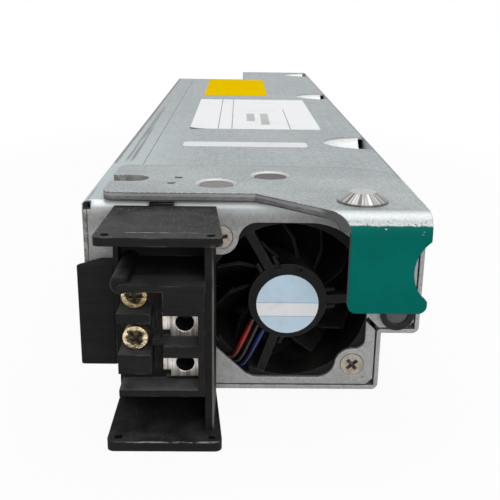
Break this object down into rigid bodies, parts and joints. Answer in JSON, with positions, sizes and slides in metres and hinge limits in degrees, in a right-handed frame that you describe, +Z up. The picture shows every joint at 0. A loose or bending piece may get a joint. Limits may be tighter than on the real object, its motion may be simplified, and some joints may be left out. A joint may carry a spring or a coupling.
{
  "type": "server power supply",
  "caption": "Slim steel-cased power supply with a fan face, a direct-current screw terminal block and a swinging ejector lever with a green tab.",
  "frame": {"origin": "middle of the underside of the case floor, halfway along the long side", "axes": "+X right and +Y rearward seen from the fan end, +Z up"},
  "size_m": [0.0801, 0.3805, 0.0544],
  "materials": {
    "zinc_sheet": "satin",
    "zinc_plate": "satin",
    "black_moulding": "matt",
    "pale_label": "satin",
    "brass": "satin",
    "copper": "satin",
    "ferrite": "matt",
    "red_lead": "satin",
    "black_lead": "satin",
    "blue_lead": "satin",
    "pale_moulding": "satin",
    "nickel": "satin",
    "lamp_lens": "gloss",
    "board_green": "satin",
    "can_sleeve": "gloss",
    "aluminium": "satin",
    "chip_moulding": "matt"
  },
  "bodies": {
    "case": {"board_screws": "zinc_plate", "board_standoffs": "brass", "case_shell": "zinc_sheet", "control_board": "board_green", "cover_screws": "zinc_sheet", "edge_contacts": "brass", "fan_bearings": "brass", "fan_frame": "black_moulding", "fan_header": "pale_moulding", "fan_label": "pale_label", "fan_lead_black": "black_lead", "fan_lead_blue": "blue_lead", "fan_lead_red": "red_lead", "fan_plug": "pale_moulding", "fan_screws": "zinc_plate", "fan_stator": "copper", "input_capacitors": "can_sleeve", "input_choke": "copper", "insulating_film": "pale_moulding", "lamp_holder": "black_moulding", "lower_busbar": "copper", "lower_pole_bar": "nickel", "main_board": "board_green", "output_capacitors": "can_sleeve", "output_choke": "copper", "pivot_rivet": "zinc_plate", "pivot_washer": "zinc_plate", "power_transistors": "chip_moulding", "primary_heat_sink": "aluminium", "rear_panel": "zinc_sheet", "rectifiers": "chip_moulding", "secondary_heat_sink": "aluminium", "side_cover": "zinc_sheet", "side_guard": "black_moulding", "status_lamp": "lamp_lens", "terminal_housing": "black_moulding", "transformer_core": "ferrite", "transformer_winding": "copper", "upper_busbar": "copper", "upper_pole_bar": "nickel"},
    "fan_rotor": {"fan_impeller": "black_moulding", "fan_magnet": "ferrite", "fan_shaft": "zinc_plate"},
    "lever": {"eject_lever": "zinc_plate", "lever_stud": "zinc_plate", "glide_rivet": "zinc_plate"},
    "upper_screw": {"upper_terminal_screw": "brass"},
    "lower_screw": {"lower_terminal_screw": "brass"}
  },
  "joints": [
    {"name": "lever_swing", "type": "hinge", "parent": "case", "child": "lever", "pos_m": [-0.0048, -0.164, 0.0483], "axis": [0, 0, -1], "range_deg": [0, 55]},
    {"name": "fan_spin", "type": "hinge", "parent": "case", "child": "fan_rotor", "pos_m": [0.0124, -0.158, 0.02256], "axis": [0, 1, 0], "continuous": true},
    {"name": "upper_screw_turn", "type": "hinge", "parent": "case", "child": "upper_screw", "pos_m": [-0.0212, -0.19, 0.0312], "axis": [0, 1, 0], "continuous": true},
    {"name": "lower_screw_turn", "type": "hinge", "parent": "case", "child": "lower_screw", "pos_m": [-0.0212, -0.19, 0.0217], "axis": [0, 1, 0], "continuous": true}
  ]
}
